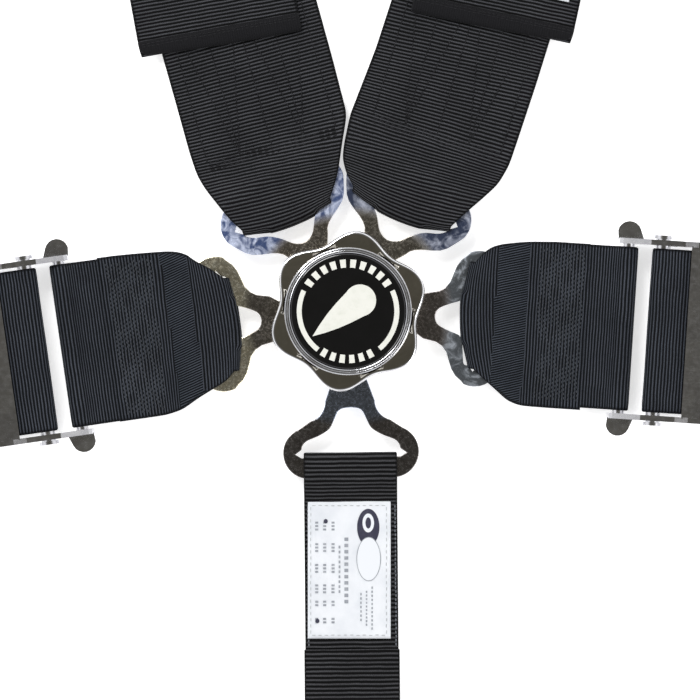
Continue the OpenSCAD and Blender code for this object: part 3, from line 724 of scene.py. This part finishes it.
def lap_link(side, place, angle, body, keys, zones):
    """Lap link: sewn block by the adjuster, a gathered neck and the loop round the tongue bar."""
    neck_a, neck_b = zones

    def relief(p, u, v, t):
        x = local_xy(place, p)[0]
        gather = soft(neck_a - 1, neck_a + 4, x) * (1 - soft(neck_b - 4, neck_b + 1, x))
        rib = 0.35 * math.sin(u / 2.1 + 0.12 * x) * gather
        past = x - neck_b
        ridge = 0.9 * math.exp(-((past - 1) / 1.2) ** 2) + 0.8 * math.exp(-((past - 4.2) / 1.1) ** 2)
        fine = 0.3 * noise.noise(Vector((u / 20, v / 20, 8.8)))
        return -0.9 * gather + rib + ridge * (1 - 0.25 * t * t) + fine
    top = folded_ply(outline_rows(place, keys), angle, 72, relief, 1)
    low = folded_ply(outline_rows(place, keys), angle, 24, None, -1)
    over_bar = arc(16, 6, 4, 160, 30, 12) + [(22, 5.6), (26, 3.6), (31, 2.1), (34, 2.1)]
    under_bar = arc(16, 6, 4, 150, 330, 14) + [(26, 1.3), (30, 0.7), (36, 0.7)]
    parts = [top, low, cloth_mesh(level_rows(place, over_bar, WEB, 2), 28, PLY),
             cloth_mesh(level_rows(place, under_bar, WEB, 2), 20, PLY)]
    o = belt(f"{side}_lap_link_webbing", parts, LAP_WEBBING, body, (f"{side}_lap_link",))
    o.data.materials.append(TWILL)
    twill_uv = o.data.uv_layers["UVMap"].data
    for poly in o.data.polygons:
        p = poly.center / MM
        if neck_a < local_xy(place, p)[0] < neck_b and p.z > 2:
            poly.material_index = 1
            for li in poly.loop_indices:
                c = o.data.vertices[o.data.loops[li].vertex_index].co
                lx, ly = local_xy(place, c / MM)
                twill_uv[li].uv = ((lx * 0.9 + ly * 0.25) * MM, (ly - lx * 0.3) * MM)


def local_xy(place, p):
    """A point's x and y in a place's own frame."""
    a = math.radians(place[2])
    dx, dy = p.x - place[0], p.y - place[1]
    return dx * math.cos(a) + dy * math.sin(a), -dx * math.sin(a) + dy * math.cos(a)


def moved(keys, d):
    return [((rx + d, ry), (lx + d, ly), b) for (rx, ry), (lx, ly), b in keys]


LL_KEYS = [((33.6, -38.4), (33.6, 38.6), 0)]
LL_KEYS += moved([((30, -38.4), (30, 38.6), 0), ((44, -38.4), (44, 37.9), 0), ((52, -36.9), (57, 36.9), 0),
                  ((60, -32.6), (63, 35.0), 0.5), ((68, -29.2), (68, 30.2), 1.5),
                  ((74, -26.8), (74, 26.2), 1.5), ((78.2, -22.6), (79.4, 21.0), 1.8)], 11.5)
RL_KEYS = [((33.6, -38.3), (33.6, 39.2), 0)]
RL_KEYS += moved([((30, -38.3), (30, 39.2), 0), ((44, -38.3), (44, 39.2), 0), ((56, -37.6), (56, 39.0), 0),
                  ((66, -36.2), (62, 37.0), 0.5), ((73, -34.4), (66.5, 33.2), 2.5),
                  ((77.4, -31.0), (73, 28.2), 3.0), ((80.8, -26.5), (78.6, 23.4), 3.2)], 5.8)
lap_link("left", LEFT_HIP, LEFT_LAP, "left_lap", LL_KEYS, (63.0, 75.0))
lap_link("right", RIGHT_HIP, RIGHT_LAP, "buckle", RL_KEYS, (61.8, 76.3))


def lap_stitching(side, place, body, x0, x1, neck):
    """Close rows of short threads across the strap, as on a bar-tacked block."""
    lines = []
    for k, x in enumerate(np.arange(x0, x1, 1.12)):
        ys = np.arange(-36.2 + 0.7 * (k % 3), 36.5, 2.0)
        lines.append([spot(place, x + 0.35 * math.sin(y / 3.1 + k), y, 2.85) for y in ys])
    stitches(f"{side}_lap_block_stitching", lines, body, BLOCK_THREAD, 1.55, 1.2, 0.27)
    across_neck = [[spot(place, neck, y, 3.0) for y in (-35, 35)]]
    stitches(f"{side}_lap_neck_stitching", across_neck, body, BLOCK_THREAD, 1.7, 1.2, 0.25)


lap_stitching("left", LEFT_HIP, "left_lap", 37.5, 59, 62.2)
lap_stitching("right", RIGHT_HIP, "buckle", 36, 57.5, 60.5)


def crotch():
    e, width = CROTCH_EAR, 43.4
    top_path = [(SLIDE - 4, 2.7), (SLIDE - 10, 2.1), (e + 24, 2.1), (e + 21, 3.6), (e + 15.5, 6.4),
                (e + 12.6, 8.2), (e + 11, 8.4), (e + 4, 8.4)]
    top_path += arc(e + 3.6, 5.5, 2.9, 90, 270, 12)
    top_path += [(e + 11, 2.6), (e + 15.5, 2.6), (e + 22, 1.2), (e + 26, 0.7), (SLIDE - 10, 0.7),
                 (SLIDE - 3, 1.6)]
    loop = arc(SLIDE, 5, 3.5, 225, 500, 20)
    parts = [cloth_mesh(level_rows(CENTRE_LINE, top_path, width, 1.6), 32, PLY, None, ripple(0.2, 18, 7.7)),
             cloth_mesh(level_rows(CENTRE_LINE, loop, width, 2), 20, PLY)]
    belt("crotch_belt_webbing", parts, CROTCH_WEBBING, "crotch", ("crotch_belt",))
    lines = [[spot(CENTRE_LINE, x, y, 2.85) for x in (90, 156)] for y in (20.6, -20.0)]
    stitches("crotch_belt_edge_stitching", lines, "crotch", LIGHT_THREAD, 1.9, 1.3, 0.3)
    box = sewn_box(CENTRE_LINE, 176, 206, width / 2, 2.85)
    stitches("crotch_belt_end_stitching", box, "crotch")
    # extra ply sewn over the belt below the label
    cover = level_rows(CENTRE_LINE, [(157.5, 2.9), (158.4, 3.35), (160.5, 3.5), (174, 3.4), (208, 3.3),
                                     (212, 3.0)], CROTCH_W, 1.6)
    belt("crotch_belt_sewn_end", [cloth_mesh(cover, 32, PLY, None, ripple(0.25, 18, 9.1))], CROTCH_WEBBING,
         "crotch")

    far = SLIDE + 28
    end = far + LOWER_RUN
    turn = [(far + 22, 2.1), (far + 6, 7.4), (far + 2, 8.4), (far - 2, 8.5)]
    turn += arc(SLIDE + 14, 5, 3.5, 90, 270, 14) + [(far - 2, 1.5), (far + 4, 1.2), (far + 22, 0.7)]
    run = [(far + 18, 2.1)] + bracket_loop(end, -100)
    under = [(far + 18, 0.7), (end - 16, 0.7), (end - 2, 0.8)]
    parts = [cloth_mesh(level_rows(CENTRE_LINE, p, CROTCH_W, 2), 24, PLY, None, ripple(0.2, 18, 1.1))
             for p in (turn, run, under)]
    name, body = "crotch_lower_belt", "crotch_lower"
    belt(f"{name}_webbing", parts, CROTCH_WEBBING, body, (name,))
    box = sewn_box(CENTRE_LINE, far + 28, end - 26, width / 2, 2.95)
    stitches(f"{name}_stitching", box, body)


crotch()

# ---- tongues


def inset(pts, d):
    """A closed counter-clockwise line moved inwards by d."""
    n, out = len(pts), []
    for i in range(n):
        p0, p1, p2 = (Vector(pts[(i + k) % n]) for k in (-1, 0, 1))
        a, b = (p1 - p0).normalized(), (p2 - p1).normalized()
        na, nb = Vector((-a.y, a.x)), Vector((-b.y, b.x))
        m = na + nb
        m = m / max(m.dot(m) / 2, 0.35)
        out.append(p1 + m * d)
    return out


def ccw(pts):
    area2 = sum(a[0] * b[1] - b[0] * a[1] for a, b in zip(pts, pts[1:] + pts[:1]))
    return list(pts) if area2 > 0 else list(reversed(pts))


PLATE_LOW, PLATE_TOP, PLATE_EDGE = 4.0, 7.0, 0.35


def plate(name, outer, holes, material, angle, body, replaced):
    """A stamped plate with rounded edges: rings down each outline, then flat caps."""
    turns = [math.radians(q) for q in (90, 67, 45, 22, 0)]
    levels = [(PLATE_EDGE * (1 - math.cos(q)), PLATE_TOP - PLATE_EDGE * (1 - math.sin(q))) for q in turns]
    levels += [(d, PLATE_LOW + (PLATE_TOP - z)) for d, z in reversed(levels)]
    verts, faces, tops, bottoms = [], [], [], []
    loops = [(ccw(outer), 1)] + [(ccw(h), -1) for h in holes]
    for pts, sign in loops:
        n = len(pts)
        base = len(verts)
        for d, z in levels:
            verts += [Vector((q.x, q.y, z)) for q in inset(pts, d * sign)]
        for k in range(len(levels) - 1):
            a, b = base + k * n, base + (k + 1) * n
            faces += [(a + i, a + (i + 1) % n, b + (i + 1) % n, b + i) for i in range(n)]
        tops.append(list(range(base, base + n)))
        bottoms.append(list(range(base + (len(levels) - 1) * n, base + len(levels) * n)))
    for group in (tops, bottoms):
        flat = [i for loop in group for i in loop]
        cap = [[Vector((verts[i].x, verts[i].y, 0)) for i in loop] for loop in group]
        for tri in tessellate_polygon(cap):
            faces.append(tuple(flat[i] for i in tri))
    turn = Matrix.Rotation(math.radians(angle), 3, "Z")
    verts = [turn @ v * MM for v in verts]
    o = make(name, verts, faces, material)
    outward(o, 40)
    attach(o, body, replaced)


def mirrored(half):
    return half + [(x, -y) for x, y in reversed(half)]


def smooth_closed(pts, sub=3):
    """Catmull-Rom through a closed line, to take out its corners."""
    n = len(pts)
    out = []
    for i in range(n):
        p0, p1, p2, p3 = (Vector(pts[(i + k) % n]) for k in (-1, 0, 1, 2))
        for s in range(sub):
            t = s / sub
            out.append(tuple(0.5 * ((2 * p1) + (p2 - p0) * t + (2 * p0 - 5 * p1 + 4 * p2 - p3) * t * t
                                    + (3 * p1 - p0 - 3 * p2 + p3) * t ** 3)))
    return out


NECK = arc(21, 0, 8, 180, 90, 8) + [(31.6, 8)]


def beyond(e, pts):
    return [(e + x, y) for x, y in pts]


def tongue(name, angle, body, material, half, window):
    """A tongue from one half of its outline past the neck and one half of its window."""
    half = [(21 - 8, 0.01)] + (NECK + half)[1:]
    pin_hole = arc(21, 0, 3.6, 0, 345, 23)
    holes = [smooth_closed(mirrored(window), 2), pin_hole]
    plate(name + "_plate", mirrored(half), holes, material, angle, body, (name,))


SHOULDER_HALF = beyond(EAR, [(-23.3, 10.9), (-21.1, 12), (-19.3, 13.9), (-17.7, 16.6), (-15.9, 20.6),
                             (-13.9, 24.3), (-11.5, 26.7), (-8.5, 28.5), (-5.6, 30.1)])
SHOULDER_HALF += arc(EAR - 0.3, 19.6, 12, 105, 0, 16)
SHOULDER_WINDOW = beyond(EAR, [(-21.3, 0.01), (-20.7, 2.6), (-19, 5.2), (-16.4, 7.3), (-13.1, 10.1),
                               (-9.9, 14.2), (-8, 18.6), (-6.1, 21.4), (-3.5, 23), (2.3, 23)])
LAP_HALF = beyond(EAR, [(-23.8, 10.6), (-20.8, 11.2), (-17.8, 11.8), (-14.9, 13.5), (-12.6, 16.4),
                        (-11.3, 20.2), (-9.9, 24), (-7.9, 27), (-5.1, 29.3)])
LAP_HALF += arc(EAR + 0.7, 19.6, 12, 112, 0, 16)
LAP_WINDOW = beyond(EAR, [(-18.8, 0.01), (-18.3, 2.2), (-16.9, 3.9), (-14.3, 5.3), (-11.1, 6.6), (-7.3, 8),
                          (-6, 10), (-5.3, 13), (-4.8, 18.5), (-4.2, 21.4), (-2.4, 21.9), (2.3, 21.9)])
CROTCH_HALF = arc(CROTCH_EAR - 24, 21, 9.5, -90, -15, 8) + arc(CROTCH_EAR, 19.6, 12, 158, 0, 18)
CROTCH_WINDOW = beyond(CROTCH_EAR, [(-20.9, 0.01), (-20.6, 3), (-19.6, 5.2), (-17.5, 6.5), (-12.4, 8.8),
                                    (-10.1, 11), (-7.7, 15.3), (-5.8, 20.1), (-3.9, 22.2), (-1.5, 23),
                                    (2.3, 23)])
SHOULDER_SHAPE, LAP_SHAPE = (SHOULDER_HALF, SHOULDER_WINDOW), (LAP_HALF, LAP_WINDOW)
tongue("left_shoulder_tongue", LEFT_SHOULDER, "left_shoulder", BLUE_REFLECTION_CHROME, *SHOULDER_SHAPE)
tongue("right_shoulder_tongue", RIGHT_SHOULDER, "right_shoulder", SLATE_REFLECTION_CHROME, *SHOULDER_SHAPE)
tongue("left_lap_tongue", LEFT_LAP, "left_lap", OLIVE_REFLECTION_CHROME, *LAP_SHAPE)
tongue("right_lap_tongue", RIGHT_LAP, "buckle", GREY_REFLECTION_CHROME, *LAP_SHAPE)
tongue("crotch_tongue", CROTCH, "crotch", BLACK_REFLECTION_CHROME, CROTCH_HALF, CROTCH_WINDOW)

# ---- knob, bezel and badge


def knob_r(a, back=0.0):
    """Radius of the six-lobed knob at an angle, less a step back from its edge."""
    return 34.7 + 2.7 * math.cos(6 * (a - math.radians(22))) - back


def lathe(name, rings, n, material, replaced=(), closed_centre=False):
    """Rings of (radius function or number, height), joined from the outside in."""
    verts, faces = [], []
    for r, z in rings:
        for i in range(n):
            a = 2 * math.pi * i / n
            rr = r(a) if callable(r) else r
            verts.append(Vector((rr * math.cos(a), rr * math.sin(a), z)) * MM)
    for k in range(len(rings) - 1):
        a, b = k * n, (k + 1) * n
        faces += [(a + i, a + (i + 1) % n, b + (i + 1) % n, b + i) for i in range(n)]
    if closed_centre:
        faces.append(tuple((len(rings) - 1) * n + i for i in range(n)))
    o = make(name, verts, faces, material)
    outward(o)
    return attach(o, "knob", replaced)


def at_inset(d):
    return lambda a: knob_r(a, d)


def toward_ring(k):
    return lambda a: knob_r(a, 3.4) * (1 - k) + 30.2 * k


RIM = ((0.6, 11.95), (0.15, 12.5), (0, 13.5), (0, 22.6), (0.1, 23.05), (0.32, 23.42), (0.65, 23.7),
       (1.05, 23.84), (1.5, 23.86), (1.65, 23.86))
KNOB_RINGS = [(8.0, 21.8), (29.6, 21.8), (29.6, 12.0)] + [(at_inset(d), z) for d, z in RIM]
KNOB_RINGS += [(r, 23.86) for r in (toward_ring(0.3), toward_ring(0.7), 30.2, 29.0)]
knob = lathe("knob_body", KNOB_RINGS, 240, KNOB_CHROME, ("knob",))
knob.data.materials.append(LIP_HIGHLIGHT_CHROME)
# polygons on the rounded rim take the brighter chrome, a painted highlight
for poly in knob.data.polygons:
    c = poly.center / MM
    gap = knob_r(math.atan2(c.y, c.x)) - math.hypot(c.x, c.y)
    if c.z > 22.2 and gap < 1.3:
        poly.material_index = 1
HUB_RINGS = [(7.9, 12.0), (7.9, 22.5), (4.2, 22.5), (4.2, 12.0), (7.9, 12.0)]
lathe("knob_hub", HUB_RINGS, 64, KNOB_CHROME)
BEZEL_RINGS = [(29.6, 23.9), (29.55, 24.3), (29.35, 24.62), (29.05, 24.82), (28.7, 24.86), (28.45, 24.8),
               (28.3, 24.72), (28.15, 24.8), (27.8, 24.9), (27.5, 24.88), (27.2, 24.78), (26.95, 24.55),
               (26.85, 24.2), (26.85, 23.9)]
lathe("bezel_ring_polished", BEZEL_RINGS, 200, BEZEL_CHROME, ("bezel_ring",))
BADGE_RINGS = [(26.8, 24.0), (26.75, 24.35), (26.5, 24.6), (26.0, 24.74), (25.1, 24.8), (20, 24.86),
               (12, 24.9), (5, 24.92), (0.6, 24.93)]
lathe("badge_disc", BADGE_RINGS, 160, BADGE, ("badge",), closed_centre=True)


def badge_top(r):
    return ramp(r, [(0, 24.93), (5, 24.92), (12, 24.9), (20, 24.86), (25.1, 24.8), (26, 24.74)])


def flat_marks(name, outlines, level, thick, material, body):
    """Thin flat prints, each outline raised from level(x, y) by its thickness."""
    verts, faces = [], []
    for pts in outlines:
        base, n = len(verts), len(pts)
        for dz in (0.0, thick):
            verts += [Vector((x, y, level(x, y) + dz)) * MM for x, y in pts]
        faces.append(tuple(base + n + i for i in range(n)))
        faces.append(tuple(base + i for i in reversed(range(n))))
        faces += [(base + i, base + (i + 1) % n, base + n + (i + 1) % n, base + n + i) for i in range(n)]
    attach(make(name, verts, faces, material, smooth=False), body)


def printed(name, outlines):
    """Shapes printed on the badge, following its crown."""
    flat_marks(name, outlines, lambda x, y: badge_top(math.hypot(x, y)) + 0.01, 0.06, BADGE_PRINT, "knob")


def band(r0, r1, a, b, n):
    return arc(0, 0, r1, a, b, n) + arc(0, 0, r0, b, a, n)


def arc_pieces(r0, r1, a, b, step=4.0):
    n = max(1, round(abs(b - a) / step))
    return [band(r0, r1, a + (b - a) * i / n, a + (b - a) * (i + 1) / n, 2) for i in range(n)]


printed("badge_arcs", arc_pieces(21.4, 23.7, 155, 232) + arc_pieces(21.4, 23.7, 25, -50))
TICKS = [band(20.2, 24.0, a - 3.4, a + 3.4, 3) for a in np.arange(36, 145, 12)]
TICKS += [band(20.2, 24.0, a - 3.2, a + 3.2, 3) for a in np.arange(240, 305, 11.5)]
printed("badge_ticks", TICKS)


def drop_shape():
    """A plain slanted drop, pointed at its lower end."""
    tip, centre, r = Vector((-16.5, -11.6)), Vector((5.6, 5.0)), 7.4
    out = []
    axis = math.degrees(math.atan2(centre.y - tip.y, centre.x - tip.x))
    for i in range(33):
        a = math.radians(axis - 112 + 224 * i / 32)
        out.append((centre.x + r * math.cos(a), centre.y + r * math.sin(a)))
    for end, bow in ((Vector(out[-1]), -0.9), (Vector(out[0]), 0.9)):
        sideways = (tip - end).orthogonal().normalized()
        side = [tuple(end.lerp(tip, t) + sideways * bow * math.sin(math.pi * t)) for t in (0.25, 0.5, 0.75)]
        out += side if bow < 0 else [tuple(tip)] + side[::-1]
    return out


printed("badge_symbol", [drop_shape()])

# ---- labels
LABEL_TOP = 3.42


def label(name, place, x0, x1, y0, y1, z, body, node):
    """A thin woven label with slightly wavy edges."""
    rows = even([[spot(place, x, y, z) for y in (y0, (y0 + y1) / 2, y1)] for x in (x0, x1)], 1.5)
    belt(name, [cloth_mesh(rows, 26, 0.45, None, ripple(0.12, 9, 3.3))], LABEL, body, (node,))


def border(x0, x1, y0, y1, z):
    return [[(x0, y0, z), (x1, y0, z), (x1, y1, z), (x0, y1, z), (x0, y0, z)]]


def block(x, y, half, drop):
    return [(x - half, y), (x + half, y), (x + half, y - drop), (x - half, y - drop)]


def ellipse(cx, cy, rx, ry, n=40):
    turns = [2 * math.pi * i / n for i in range(n)]
    return [(cx + rx * math.cos(a), cy + ry * math.sin(a)) for a in turns]


def label_print(name, shapes, z, material):
    flat_marks(name, shapes, lambda x, y: z, 0.05, material, "crotch")


label("crotch_label_cloth", (0.35, 0, -90), 88.3, 152.2, -19.1, 19.5, 3.1, "crotch", "crotch_label")
stitches("crotch_label_stitching", border(-17.4, 17.9, -150.6, -90.3, LABEL_TOP), "crotch",
         LABEL_THREAD, 2.9, 1.7, 0.2)
marks = []
for x in (-14.6, -10.9, -7.0):
    for row, y in enumerate((-97.8, -107.8, -117.5, -127.0, -134.6, -142.6)):
        marks += [block(x, y - 1.6 * k, 0.7, 0.9) for k in range(3 if row < 4 else 2)]
for x, y, stop, half, gap in ((-0.8, -105.2, -135, 0.9, 2.9), (-4.0, -109, -131, 0.4, 2.3),
                              (8.6, -130, -146, 0.35, 1.7), (11.2, -128, -147.5, 0.35, 1.9),
                              (6.0, -131, -144, 0.35, 2.0)):
    while y > stop:
        marks.append(block(x, y, half, gap * 0.55))
        y -= gap
label_print("crotch_label_print", marks, LABEL_TOP - 0.02, INK)
label_print("crotch_label_oval", [ellipse(9.4, -100.4, 5.2, 8.6)], LABEL_TOP - 0.02, DARK_INK)
label_print("crotch_label_light_oval", [ellipse(9.6, -115.2, 5.7, 10.3)], LABEL_TOP, INK)
label_print("crotch_label_light_field", [ellipse(9.6, -115.2, 5.35, 9.95)], LABEL_TOP + 0.03, LABEL)
label_print("crotch_label_oval_dot", [ellipse(9.4, -98.4, 2.7, 4.4)], LABEL_TOP + 0.04, LABEL)
label_print("crotch_label_oval_core", [ellipse(9.4, -98.4, 1.3, 2.6)], LABEL_TOP + 0.08, DARK_INK)
holes = [ellipse(x, y, 0.95, 1.05, 20) for x, y in ((-10.4, -97.6), (-14.3, -144.0))]
label_print("crotch_label_punched", holes, LABEL_TOP + 0.06, DARK_INK)

TAIL_PLACE = (*spot(RIGHT_CHEST, TAIL_FOLD, 0, 0).xy, RIGHT_CHEST[2] + RIGHT_SKEW)
label("shoulder_label_cloth", TAIL_PLACE, -94.4, -42.6, -32.9, 26.9, 4.75, "right_shoulder_tail",
      "shoulder_label")
edge = [[spot(TAIL_PLACE, x, y, z) for x, y, z in line] for line in border(-92.8, -44.2, -31.2, 25.2, 5.05)]
stitches("shoulder_label_stitching", edge, "right_shoulder_tail", LABEL_THREAD, 2.9, 1.7, 0.2)

# ---- materials of the CAD nodes that stay
KEPT = {"back_plate": CAST, "buckle_housing": CAST, "housing_screws": STEEL, "standoffs": STEEL,
        "cam_spindle": STEEL, "spring_plate": STEEL, "knob_return_spring": SPRING, "knob_screw": STEEL,
        "captive_screw": STEEL, "cam_plate": STEEL}
for n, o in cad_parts.items():
    m = KEPT.get(n)
    if m is None:
        if "lock_pin" in n:
            m = STEEL
        elif "spring" in n:
            m = SPRING
        elif "bracket" in n:
            m = ZINC
        elif "adjuster" in n or "grip_bar" in n or "slide" in n:
            m = HARDWARE
    if m is not None:
        o.data.materials.clear()
        o.data.materials.append(m)

# ---- studio
fm = Nodes("pale_floor")
fm.set(Base_Color=fm.mix(fm.noise(fm.coords(), 3, 2), (0.9, 0.9, 0.9), (0.93, 0.93, 0.93)), Roughness=0.9,
       Emission_Color=(1.0, 1.0, 1.0), Emission_Strength=0.6)
floor_corners = [(x, y, -0.0012) for x, y in ((-9, -9), (9, -9), (9, 9), (-9, 9))]
make("floor", floor_corners, [(0, 1, 2, 3)], fm.mat, smooth=False)

world = bpy.data.worlds.new("studio")
bpy.context.scene.world = world
world.use_nodes = True
wt = world.node_tree
wt.nodes.clear()
w_out = wt.nodes.new("ShaderNodeOutputWorld")
w_bg = wt.nodes.new("ShaderNodeBackground")
w_tc = wt.nodes.new("ShaderNodeTexCoord")
w_sep = wt.nodes.new("ShaderNodeSeparateXYZ")
w_ramp = wt.nodes.new("ShaderNodeValToRGB")
wt.links.new(w_tc.outputs["Generated"], w_sep.inputs[0])
wt.links.new(w_sep.outputs[2], w_ramp.inputs[0])
wt.links.new(w_ramp.outputs[0], w_bg.inputs[0])
wt.links.new(w_bg.outputs[0], w_out.inputs[0])
# the sky from below to overhead: dark above, so that chrome facing up stays dark
stops = [(0.0, (0.75, 0.75, 0.76)), (0.35, (1.0, 1.0, 1.02)), (0.72, (1.0, 1.0, 1.02)),
         (0.86, (0.16, 0.155, 0.14)), (1.0, (0.09, 0.086, 0.075))]
cr = w_ramp.color_ramp
cr.elements[0].position, cr.elements[0].color = stops[0][0], (*stops[0][1], 1)
cr.elements[1].position, cr.elements[1].color = stops[-1][0], (*stops[-1][1], 1)
for pos, col in stops[1:-1]:
    el = cr.elements.new(pos)
    el.color = (*col, 1)
w_bg.inputs[1].default_value = 1.0


def area(name, at, size, power, colour=(1, 1, 1)):
    li = bpy.data.lights.new(name, "AREA")
    li.shape = "RECTANGLE"
    li.size, li.size_y = size
    li.energy = power
    li.color = colour
    o = bpy.data.objects.new(name, li)
    bpy.context.collection.objects.link(o)
    o.location = at
    o.rotation_mode = "QUATERNION"
    o.rotation_quaternion = (-Vector(at)).to_track_quat("-Z", "Y")
    return o


area("key_light", (-0.9, 1.5, 1.7), (1.2, 0.9), 42)
area("fill_light", (1.6, -0.9, 1.4), (1.0, 1.0), 14)

CAMERA_HEIGHT, VIEW_WIDTH = 3.0, 0.3262
cam_data = bpy.data.cameras.new("camera")
cam_data.sensor_width = 36
cam = bpy.data.objects.new("camera", cam_data)
bpy.context.collection.objects.link(cam)
cam.location = (0.0009, -0.0179, CAMERA_HEIGHT)
cam_data.lens = 36 * CAMERA_HEIGHT / VIEW_WIDTH
cam_data.clip_start, cam_data.clip_end = 0.1, 50
bpy.context.scene.camera = cam
bpy.context.scene.view_settings.view_transform = "Standard"
